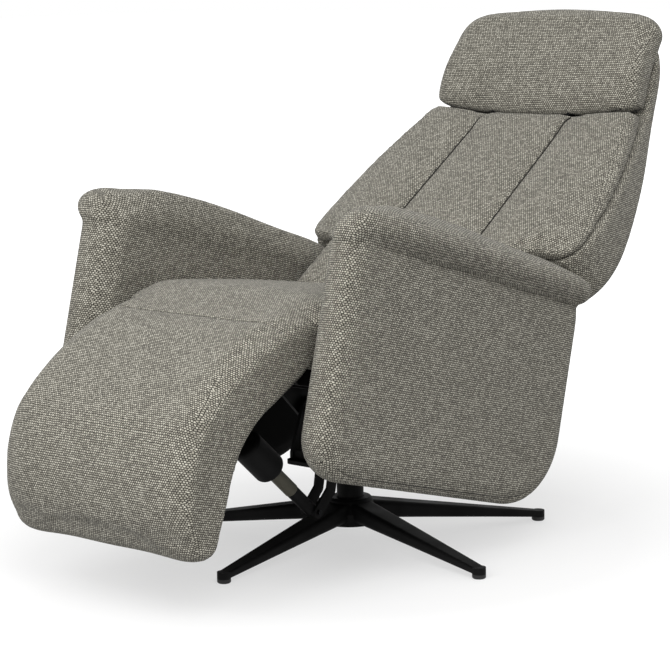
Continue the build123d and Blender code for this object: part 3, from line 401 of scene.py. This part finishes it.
def voxels(obj, size):
    """Lays the skin out on an even grid and keeps its largest piece, the outer one."""
    remesh = obj.modifiers.new("voxels", "REMESH")
    remesh.mode = "VOXEL"
    remesh.voxel_size = size
    apply_modifiers(obj)
    bm = bmesh.new()
    bm.from_mesh(obj.data)
    seen, best = set(), []
    for v in bm.verts:
        if v in seen:
            continue
        part, todo = [], [v]
        seen.add(v)
        while todo:
            w = todo.pop()
            part.append(w)
            for e in w.link_edges:
                o = e.other_vert(w)
                if o not in seen:
                    seen.add(o)
                    todo.append(o)
        if len(part) > len(best):
            best = part
    outer = set(best)
    bmesh.ops.delete(bm, geom=[v for v in bm.verts if v not in outer], context="VERTS")
    bm.to_mesh(obj.data)
    bm.free()


def smoothed(obj, rounds, weights=None):
    smooth = obj.modifiers.new("smooth", "SMOOTH")
    smooth.factor = 0.5
    smooth.iterations = rounds
    if weights is not None:
        group = obj.vertex_groups.new(name="smooth")
        for i, w in enumerate(weights):
            if w > 0.01:
                group.add([i], float(w), "REPLACE")
        smooth.vertex_group = "smooth"
    apply_modifiers(obj)
    obj.vertex_groups.clear()


def near_others(co, own, reach):
    """0 where another soft piece is close, rising to 1 at the given reach."""
    points, faces = [], []
    for part in frame["record"]["subparts"]:
        if part["material_slot"] != "woven_upholstery" or part["node"] in own:
            continue
        mesh = nodes[part["node"]].data
        base = len(points)
        points += [v.co.copy() for v in mesh.vertices]
        faces += [[base + i for i in p.vertices] for p in mesh.polygons]
    tree = BVHTree.FromPolygons(points, faces)
    out = np.ones(len(co))
    for i, p in enumerate(co):
        hit = tree.find_nearest(Vector(p), reach)
        if hit[0] is not None:
            t = max(0.0, (hit[3] - NEAR) / (reach - NEAR))
            out[i] = t * t * (3 - 2 * t)
    return out


def evened(mesh, values, rounds):
    """Values at the points, averaged with those of their neighbours."""
    ends = np.empty(len(mesh.edges) * 2, np.int64)
    mesh.edges.foreach_get("vertices", ends)
    a, b = ends.reshape(-1, 2).T
    for _ in range(rounds):
        total, count = values.copy(), np.ones(len(values))
        np.add.at(total, a, values[b])
        np.add.at(total, b, values[a])
        np.add.at(count, a, 1)
        np.add.at(count, b, 1)
        values = total / count
    return values


def inflate(obj, own, cap):
    """Blows the cover up from inside like a tight cushion.  It ends at most cap outside the body that it
    covers, keeps back from its neighbours and never ends inside that body."""
    rest = points_of(obj.data)
    out = normals_of(obj.data)
    room = evened(obj.data, near_others(rest, own, CLEAR), 6)
    swell = cap * room
    start = rest - out * START
    set_points(obj.data, start)
    cloth = obj.modifiers.new("cloth", "CLOTH")
    settings = cloth.settings
    settings.quality = 4
    settings.mass = 0.3
    settings.tension_stiffness = 12
    settings.compression_stiffness = 12
    settings.shear_stiffness = 4
    settings.bending_stiffness = 0.6
    settings.use_pressure = True
    settings.uniform_pressure_force = PRESSURE
    settings.effector_weights.gravity = 0
    cloth.collision_settings.use_collision = False
    for step in range(1, FRAMES + 1):
        bpy.context.scene.frame_set(step)
    apply_modifiers(obj)
    bpy.context.scene.frame_set(1)
    moved = points_of(obj.data) - start
    rise = (moved * out).sum(1)
    creep = moved - out * rise[:, None]
    creep *= np.minimum(1.0, SLIDE / np.maximum(np.linalg.norm(creep, axis=1), 1e-9))[:, None]
    rise = np.clip(rise, START - 0.0005, START + swell)
    set_points(obj.data, start + creep * room[:, None] + out * rise[:, None])
    smoothed(obj, 5, 1 - room)


def along(points, path):
    """For each point: distance along a path of (Y, Z) points, height above it and direction of the path."""
    path = np.array(path, float)
    a, b = path[:-1], path[1:]
    d = b - a
    length = np.linalg.norm(d, axis=1)
    begin = np.concatenate(([0.0], np.cumsum(length)[:-1]))
    rel = points[:, None, :] - a[None]
    t = np.clip((rel * d[None]).sum(2) / (length ** 2)[None], 0, 1)
    gap = np.linalg.norm(rel - t[:, :, None] * d[None], axis=2)
    best = gap.argmin(1)
    rows = np.arange(len(points))
    return begin[best] + t[rows, best] * length[best], gap[rows, best], (d / length[:, None])[best]


def weave_map(obj, path):
    """Lays the cloth: rows run across the piece and climb along its side outline; the two end faces
    take the cloth flat, and faces that stand across the outline take it inwards."""
    mesh = obj.data
    co = points_of(mesh)
    run, depth, course = along(co[:, 1:], path)
    uv = mesh.uv_layers.new(name="weave")
    corner = np.empty(len(mesh.loops), int)
    mesh.loops.foreach_get("vertex_index", corner)
    count = np.empty(len(mesh.polygons), int)
    mesh.polygons.foreach_get("loop_total", count)
    normal = np.empty(len(mesh.polygons) * 3)
    mesh.polygons.foreach_get("normal", normal)
    normal = np.repeat(normal.reshape(-1, 3), count, axis=0)
    end = np.abs(normal[:, 0]) > 0.6
    across = np.abs((normal[:, 1:] * course[corner]).sum(1)) > 0.72
    flat_u, flat_v = turned(co[:, 1], co[:, 2], -TILT)
    u = np.where(end, flat_u[corner], co[corner, 0])
    v = np.where(end, flat_v[corner], np.where(across, depth[corner], run[corner]))
    uv.data.foreach_set("uv", np.stack([u, v], 1).astype(np.float32).ravel())


def nearest_on_line(co, line):
    """Distance of each point from a line of points, and the index of the nearest stretch."""
    line = np.array([tuple(p) for p in line], float)
    a, b = line[:-1], line[1:]
    d = b - a
    rel = co[:, None, :] - a[None]
    t = np.clip((rel * d[None]).sum(2) / (d * d).sum(1)[None], 0, 1)
    gap = np.linalg.norm(rel - t[:, :, None] * d[None], axis=2)
    return gap.min(1), gap.argmin(1)


def finer_along(obj, line, reach):
    """Splits the faces beside a seam so that a narrow groove has points to bend on."""
    near = nearest_on_line(points_of(obj.data), line)[0] < reach
    bm = bmesh.new()
    bm.from_mesh(obj.data)
    bm.verts.ensure_lookup_table()
    edges = [e for e in bm.edges if near[e.verts[0].index] and near[e.verts[1].index]]
    bmesh.ops.subdivide_edges(bm, edges=edges, cuts=1, use_grid_fill=True)
    bmesh.ops.triangulate(bm, faces=[f for f in bm.faces if len(f.verts) > 4])
    bm.to_mesh(obj.data)
    bm.free()


def on_surface(obj, points):
    """Nearest points of the skin and the directions out of it, the latter evened out along the line."""
    bm = bmesh.new()
    bm.from_mesh(obj.data)
    tree = BVHTree.FromBMesh(bm)
    bm.free()
    hits = [tree.find_nearest(Vector(p)) for p in points]
    out = np.array([tuple(h[1]) for h in hits])
    for _ in range(6):
        out[1:-1] = (out[:-2] + 2 * out[1:-1] + out[2:]) / 4
    out /= np.linalg.norm(out, axis=1)[:, None]
    return [h[0] for h in hits], out


def sew(obj, points, width, depth, fade=0.0):
    """Draws the cover in along a seam: a narrow valley in a wide soft dip.  Gives the valley's bottom."""
    line, out = on_surface(obj, spaced(points))
    finer_along(obj, line, 0.018)
    finer_along(obj, line, 0.010)
    co = points_of(obj.data)
    d, at = nearest_on_line(co, line)
    pull = depth * (0.66 * np.exp(-(d / width) ** 2) + 0.34 * np.exp(-(d / (4 * width)) ** 2))
    ease = np.ones(len(line))
    if fade:
        ease = np.clip(np.arange(len(line)) / (fade * len(line)), 0, 1)
    set_points(obj.data, co - out[at] * (pull * ease[at])[:, None])
    return [p - Vector(n) * depth * e for p, n, e in zip(line, out, ease)]


def spaced(points, step=0.008):
    """Points at even steps along a line."""
    points = [Vector(p) for p in points]
    out = [points[0]]
    for a, b in zip(points, points[1:]):
        n = max(1, int((b - a).length / step))
        out += [a.lerp(b, (i + 1) / n) for i in range(n)]
    return out


def stitch_group():
    """Thread along a path: one short round stitch at even steps, turned along the path."""
    group = bpy.data.node_groups.new("seam_stitches", "GeometryNodeTree")
    group.interface.new_socket("Geometry", in_out="INPUT", socket_type="NodeSocketGeometry")
    for name, value in (("Spacing", 7.4 * MM), ("Stitch Length", 6.8 * MM), ("Thread Radius", 0.9 * MM)):
        group.interface.new_socket(name, in_out="INPUT", socket_type="NodeSocketFloat").default_value = value
    group.interface.new_socket("Thread", in_out="INPUT", socket_type="NodeSocketMaterial")
    group.interface.new_socket("Geometry", in_out="OUTPUT", socket_type="NodeSocketGeometry")
    given = add(group, "NodeGroupInput")
    path = add(group, "GeometryNodeMeshToCurve", {"Mesh": given.outputs["Geometry"]})
    steps = add(group, "GeometryNodeResampleCurve", {"Curve": path, "Length": given.outputs["Spacing"]},
                mode="LENGTH")
    tangent = add(group, "GeometryNodeInputTangent")
    turn = add(group, "FunctionNodeAlignRotationToVector", {"Vector": tangent}, axis="Z")
    stitch = add(group, "GeometryNodeMeshCylinder", {"Vertices": 6, "Radius": given.outputs["Thread Radius"],
                                                     "Depth": given.outputs["Stitch Length"]})
    row = add(group, "GeometryNodeInstanceOnPoints", {"Points": steps, "Instance": stitch, "Rotation": turn})
    real = add(group, "GeometryNodeRealizeInstances", {"Geometry": row})
    dyed = add(group, "GeometryNodeSetMaterial", {"Geometry": real, "Material": given.outputs["Thread"]})
    add(group, "NodeGroupOutput", {"Geometry": dyed})
    return group


def stitches(name, lines, body, radius):
    """Rows of stitches along lines of points, riding on a body.  Their near-black thread is painted shade along
    the seam lines.
    """
    mesh = bpy.data.meshes.new(name)
    points, edges = [], []
    for line in lines:
        edges += [(len(points) + i, len(points) + i + 1) for i in range(len(line) - 1)]
        points += [tuple(p) for p in line]
    mesh.from_pydata(points, edges, [])
    obj = link(name, mesh)
    rows = obj.modifiers.new("stitches", "NODES")
    rows.node_group = SEAM_STITCHES
    for item in SEAM_STITCHES.interface.items_tree:
        if item.in_out == "INPUT" and item.name in ("Thread", "Thread Radius"):
            rows[item.identifier] = seam_shade_thread if item.name == "Thread" else radius
    apply_modifiers(obj)
    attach(obj, body)
    return obj


SEAM_STITCHES = stitch_group()


def dress(obj, replaced, path):
    """Lays the cloth on a cover and hides the CAD nodes it stands for."""
    weave_map(obj, path)
    obj.data.materials.clear()
    obj.data.materials.append(cover_cloth)
    for p in obj.data.polygons:
        p.use_smooth = True
    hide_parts(*replaced)


def soft_piece(name, sources, cap, rounds=3, extra=()):
    """Cover over some CAD nodes, blown up by at most cap."""
    obj = joined_copy(name, sources, extra)
    voxels(obj, VOXEL)
    smoothed(obj, rounds)
    inflate(obj, sources, cap)
    smoothed(obj, 2)
    return obj


def flat_path(points):
    """Side outline that the cloth follows, as (Y, Z) in metres: a smooth curve through the points."""
    ends = [points[0] * 2 - points[1], *points, points[-1] * 2 - points[-2]]
    out = []
    for a, b, c, d in zip(ends, ends[1:], ends[2:], ends[3:]):
        for t in (0, 0.2, 0.4, 0.6, 0.8):
            p = b * 2 + (c - a) * t + (a * 2 - b * 5 + c * 4 - d) * t ** 2
            p += (b * 3 - a - c * 3 + d) * t ** 3
            out.append((p.y / 2, p.z / 2))
    return out + [(points[-1].y, points[-1].z)]


def lip_at(y):
    """Height of the crease under the roll of an arm."""
    return LIP_FRONT + (LIP_REAR - LIP_FRONT) * (y - ARM_FRONT) / (ARM_REAR - ARM_FRONT)


def make_seat_and_footrest():
    """One cover runs from the seat over the hinge to the footrest."""
    bridge = []
    for x, crown in ((-216, 0.0), (-130, 5.4), (0, 9.0), (130, 5.4), (216, 0.0)):
        bridge.append([foot_point(x, y, z + crown * k) for y, z, k in (
            (66, 61, 1), (46, 58, 1), (18, 52.5, 0.6), (-14, 46, 0.1),
            (-48, 35, 0), (-40, 26, 0), (0, 26, 0), (52, 30, 0))])
    nose = 53
    turns = [math.radians(a) for a in range(-50, 61, 10)]
    ring = [(0.0, 10.0)] + [(nose * math.cos(a), nose * math.sin(a)) for a in turns]
    under = []
    for x0, x1 in ((-216, -180), (-138, 138), (180, 216)):
        under.append(filling([[foot_point(x, *p) for p in ring] for x in (x0, x1)]))
    obj = soft_piece("seat_and_footrest_cover", ["seat_cushion", "footrest_pad", "footrest_board"], 0.006,
                     extra=[filling(bridge)] + under)
    co = points_of(obj.data)
    y = co[:, 1] * 1000 - FOOT_HINGE[0]
    z = co[:, 2] * 1000 - FOOT_HINGE[1]
    top = np.clip((z - 10) / 20, 0, 1) * np.clip(1.6 - np.abs(y - 15) / 60, 0, 1)
    smoothed(obj, 14, np.clip(top, 0, 1))
    seam = sew(obj, [foot_point(x, -49, 33) for x in range(-222, 223, 12)], *FOOT_SEAM)
    path = flat_path([seat_point(0, *p) for p in ((30, 490), (-170, 475), (-330, 450))] + [
        foot_point(0, *p) for p in (
            (46, 60), (-14, 46), (-85, 23), (-155, -12), (-223, -59), (-279, -114), (-304, -172),
            (-312, -233), (-309, -275), (-293, -312), (-260, -343), (-226, -309))])
    dress(obj, ["seat_cushion", "footrest_pad"], path)
    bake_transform(obj)
    stitches("footrest_seam", [seam], "footrest", FOOT_THREAD)


def shifted(obj, place, move):
    """Moves the points of a cover.  Place gives a local frame; move takes and gives local points in mm."""
    base = np.array(place(0, 0, 0))
    axes = np.array([tuple(place(*a)) for a in np.eye(3)]) - base
    local = (points_of(obj.data) - base) @ np.linalg.inv(axes)
    set_points(obj.data, base + move(local) @ axes)


def head_edge(x):
    """The lower edge of the headrest rises towards its ends and hangs a little in the middle."""
    return 19.0 * np.clip(np.abs(x) / 250, 0, 1) ** 2 - 4.0


def cushion_top(p):
    """The top edge of the back cushion follows the headrest, and stands a little higher over the hinges."""
    over_hinge = np.exp(-((np.abs(p[:, 0]) - HEAD_HINGE_X) / 24) ** 2) * np.clip((p[:, 2] - 545) / 20, 0, 1)
    p[:, 2] += head_edge(p[:, 0]) * np.clip((p[:, 2] - 480) / 90, 0, 1) + 4 * over_hinge
    return p


def headrest_foot(p):
    """The lower end of the headrest gets that edge and is a little wider."""
    low = np.clip(1 - p[:, 2] / 130, 0, 1)
    p[:, 2] += head_edge(p[:, 0]) * low
    p[:, 0] *= 1 + 0.03 * low
    return p


def hinge_skins(place, ring):
    """Thin fillings in front of the two headrest hinges, so that the cloth runs over them."""
    return [filling([[place(x, *p) for p in ring] for x in (middle - HINGE_SKIN, middle + HINGE_SKIN)])
            for middle in (-HEAD_HINGE_X, HEAD_HINGE_X)]


def make_back():
    front = ((-99, 525), (-99, 570), (-96, 578), (-88, 579), (-82, 555), (-80, 525))
    obj = soft_piece("back_cushion_cover", ["back_cushion"], 0.005, extra=hinge_skins(back_point, front))
    shifted(obj, back_point, cushion_top)
    lift = back_point(0, -BACK_LIFT, 0) - back_point(0, 0, 0)
    spread = (SEAM_X[1] - SEAM_X[0]) / SEAM_STEPS
    rows = []
    for side in (-1, 1):
        line = [back_point(side * (SEAM_X[0] + spread * i), -100, SEAM_TOP - i * SEAM_STEP)
                for i in range(SEAM_STEPS)]
        rows.append([p + lift for p in sew(obj, line, *BACK_SEAM)])
    dress(obj, ["back_cushion"], flat_path([back_point(0, -103, -60), back_point(0, -103, 600)]))
    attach(obj, "backrest")
    stitches("back_seams", rows, "backrest", BACK_THREAD)
    shell = soft_piece("back_shell_cover", ["back_shell", "back_frame", "back_panels"], 0.003, rounds=4)
    dress(shell, ["back_shell"], flat_path([
        back_point(0, -60, -90), back_point(0, 66, 0), back_point(0, 60, 300), back_point(0, 10, 590),
        back_point(0, -42, 690), back_point(0, -124, 770)]))
    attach(shell, "backrest")
    turns = [math.radians(a) for a in range(180, 271, 15)]
    front = [(18 + 19 * math.cos(a), 18 + 19 * math.sin(a)) for a in turns]
    front += [(18 + 10 * math.cos(a), 18 + 10 * math.sin(a)) for a in reversed(turns)] + [(8, 66), (0.5, 66)]
    head = soft_piece("headrest_cover", ["headrest_pad", "headrest_plate"], 0.004,
                      extra=hinge_skins(head_point, front))
    shifted(head, head_point, headrest_foot)
    dress(head, ["headrest_pad"], flat_path([
        head_point(0, 30, 0), head_point(0, 0, 10), head_point(0, -5, 120), head_point(0, 12, 225),
        head_point(0, 32, 250), head_point(0, 52, 220), head_point(0, 52, 60)]))
    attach(head, "headrest")


def mirrored(obj, name):
    mesh = obj.data.copy()
    mesh.transform(Matrix.Scale(-1, 4, (1, 0, 0)))
    mesh.flip_normals()
    return link(name, mesh)


def lining_of(cover):
    """Black cloth on the lower inner side of the left arm, cut straight and drawn under the arm."""
    bm = bmesh.new()
    bm.from_mesh(cover.data)
    for edge, out in (((0, 0, LINING_TOP), (0, 0, 1)), ((0, LINING_FRONT, 0), (0, -1, 0)),
                      ((0, LINING_REAR, 0), (0, 1, 0)), ((ARM_IN + 40, 0, 0), (1, 0, 0))):
        away = seat_point(*out) - seat_point(0, 0, 0)
        bmesh.ops.bisect_plane(bm, geom=bm.verts[:] + bm.edges[:] + bm.faces[:], plane_co=seat_point(*edge),
                               plane_no=away, clear_outer=True)
    bm.normal_update()
    for v in bm.verts:
        v.co += v.normal * LINING_OUT
    mesh = bpy.data.meshes.new("arm_left_lining")
    bm.to_mesh(mesh)
    bm.free()
    mesh.materials.clear()
    mesh.materials.append(under_cloth)
    for p in mesh.polygons:
        p.use_smooth = True
    return link("arm_left_lining", mesh)


def arm_roll(p):
    """Fuller roll on the left arm: it overhangs the side, its inner half stands up along the middle and
    falls away at the front."""
    above = p[:, 2] - lip_at(p[:, 1])
    h = np.clip(above / PAD_TALL, 0, 1)
    inner = np.clip((ARM_OUT - p[:, 0]) / (ARM_OUT - ARM_IN), 0, 1)
    crown = np.interp(p[:, 1], (-400, -340, -280, -200, -100, 0, 60, 130, 200),
                      (0, 8, 14, 16, 14, 11, 8, 4, 0))
    front = np.clip((-330 - p[:, 1]) / 136, 0, 1)
    tip = np.clip((-400 - p[:, 1]) / 60, 0, 1)
    bulge = np.sin(np.pi * h) * np.clip(1 - inner / 0.5, 0, 1)
    p[:, 2] += h * (crown * (0.2 + 0.8 * inner) - 44 * inner ** 2 * front + 12 * (1 - inner) * tip)
    p[:, 0] += h * 18 * inner * front + ROLL_OVER * bulge * (1 - 0.6 * front)
    return p


def make_arms():
    """Each arm is one cover: a flat side with a roll on top that overhangs it along a crease."""
    left = soft_piece("arm_left_cover", ["arm_panel_left", "arm_board_left", "arm_pad_left"], 0.003)
    shifted(left, seat_point, arm_roll)
    lining = lining_of(left)
    sew(left, [seat_point(ARM_OUT - 4, y, lip_at(y)) for y in range(-430, 231, 12)], *LIP_CREASE, fade=0.22)
    hem = sew(left, [seat_point(ARM_OUT - 6, y, z) for y, z in (
        (-420, 150), (-396, 141), (-366, 137), (-300, 136), (-200, 136), (-100, 136), (0, 136), (80, 137),
        (120, 146), (150, 160))], *HEM_SEAM)
    right = mirrored(left, "arm_right_cover")
    path = flat_path([seat_point(0, *p) for p in (
        (-300, 123), (-388, 123), (-443, 146), (-466, 201), (-466, 560), (-440, 600), (-390, 622),
        (-300, 620), (60, 600), (200, 585), (232, 540), (232, 265), (190, 165), (90, 123), (-300, 123))])
    for obj, hand in ((left, "left"), (right, "right")):
        dress(obj, ["arm_panel_" + hand, "arm_pad_" + hand], path)
        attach(obj, "seat_unit")
    for obj, hand in ((lining, "left"), (mirrored(lining, "arm_right_lining"), "right")):
        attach(obj, "seat_unit")
        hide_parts("arm_lining_" + hand)
    stitches("arm_hem_stitches", [hem, [Vector((-p.x, p.y, p.z)) for p in hem]], "seat_unit", HEM_THREAD)


make_seat_and_footrest()
make_back()
make_arms()


def seen_directly(tree):
    """1 for rays from the camera and for those that mirror or pass, so that they all meet a white studio."""
    ray = add(tree, "ShaderNodeLightPath").outputs
    seen = add(tree, "ShaderNodeMath", {0: ray["Is Camera Ray"], 1: ray["Is Glossy Ray"]},
               operation="MAXIMUM")
    return add(tree, "ShaderNodeMath", {0: seen, 1: ray["Is Transmission Ray"]}, operation="MAXIMUM")


def studio_floor():
    """White paper sweep.  The camera sees it nearly white, with the soft shadow left on it, and its glow is dimmer
    close to the chair: a painted shadow around the chair.
    """
    mesh = bpy.data.meshes.new("studio_floor")
    w, z = 40.0, -0.5 * MM
    mesh.from_pydata([(-w, -w, z), (w, -w, z), (w, w, z), (-w, w, z)], [], [(0, 1, 2, 3)])
    obj = link("studio_floor", mesh)
    material, tree = new_material("studio_paper")
    seen = seen_directly(tree)
    paper = add(tree, "ShaderNodeBsdfDiffuse", {"Color": (FLOOR_GREY, FLOOR_GREY, FLOOR_GREY, 1.0)})
    place = add(tree, "ShaderNodeTexCoord").outputs["Object"]
    far = add(tree, "ShaderNodeVectorMath", {0: place}, operation="LENGTH")
    # glow rises with distance from the chair: lower beside it, a painted shadow around the chair
    glow = add(tree, "ShaderNodeMapRange", {"Value": far.outputs["Value"], "From Min": 0.55, "From Max": 1.9,
                                            "To Min": FLOOR_SHADOW_GLOW, "To Max": 1.0})
    glow = add(tree, "ShaderNodeMath", {0: seen, 1: glow}, operation="MULTIPLY")
    glow = add(tree, "ShaderNodeEmission", {"Strength": glow})
    add(tree, "ShaderNodeOutputMaterial", {"Surface": add(tree, "ShaderNodeAddShader", {0: paper, 1: glow})})
    mesh.materials.append(material)


def studio_light():
    """Even white surroundings and three soft boxes: in front, beside the sitter's left arm and above."""
    world = bpy.data.worlds.new("studio")
    bpy.context.scene.world = world
    world.use_nodes = True
    tree = world.node_tree
    tree.nodes.clear()
    strength = add(tree, "ShaderNodeMath", {0: seen_directly(tree), 1: 1 - SKY, 2: SKY},
                   operation="MULTIPLY_ADD")
    sky = add(tree, "ShaderNodeBackground", {"Color": (1.0, 1.0, 1.0, 1.0), "Strength": strength})
    add(tree, "ShaderNodeOutputWorld", {"Surface": sky})
    for name, place, target, size, power in (
            ("soft_box_front", (0.4, -4.2, 2.6), (0, -0.3, 0.5), 2.6, 80.0),
            ("soft_box_side", (2.6, -2.4, 3.2), (0, 0.0, 0.5), 2.4, 72.0),
            ("soft_box_top", (0.0, -0.4, 4.2), (0, 0.0, 0.5), 3.0, 6.0)):
        lamp = bpy.data.lights.new(name, "AREA")
        lamp.shape = "DISK"
        lamp.size = size
        lamp.energy = power
        obj = bpy.data.objects.new(name, lamp)
        bpy.context.scene.collection.objects.link(obj)
        obj.location = place
        obj.rotation_euler = (Vector(target) - Vector(place)).to_track_quat("-Z", "Y").to_euler()


def photo_camera():
    """Camera of the photograph, fitted to the chair: 41 degrees to the sitter's left, a little above."""
    azimuth, pitch, pan, roll = map(math.radians, (CAM_AZIMUTH, CAM_PITCH, CAM_PAN, CAM_ROLL))
    heading = azimuth + pan
    level = math.cos(pitch)
    forward = Vector((-math.sin(heading) * level, math.cos(heading) * level, -math.sin(pitch)))
    right = Vector((math.cos(heading), math.sin(heading), 0))
    up = right.cross(forward)
    r2 = right * math.cos(roll) + up * math.sin(roll)
    u2 = up * math.cos(roll) - right * math.sin(roll)
    data = bpy.data.cameras.new("photo_camera")
    data.sensor_fit = "HORIZONTAL"
    data.sensor_width = 36.0
    data.lens = CAM_FOCAL_PX / IMAGE_WIDE * 36.0
    data.clip_end = 100.0
    obj = bpy.data.objects.new("photo_camera", data)
    bpy.context.scene.collection.objects.link(obj)
    spot = Vector((CAM_RADIUS * math.sin(azimuth), -CAM_RADIUS * math.cos(azimuth), CAM_HEIGHT))
    obj.matrix_world = Matrix.Translation(spot) @ Matrix((r2, u2, -forward)).transposed().to_4x4()
    bpy.context.scene.camera = obj


studio_floor()
studio_light()
photo_camera()
bpy.context.scene.view_settings.view_transform = "Standard"
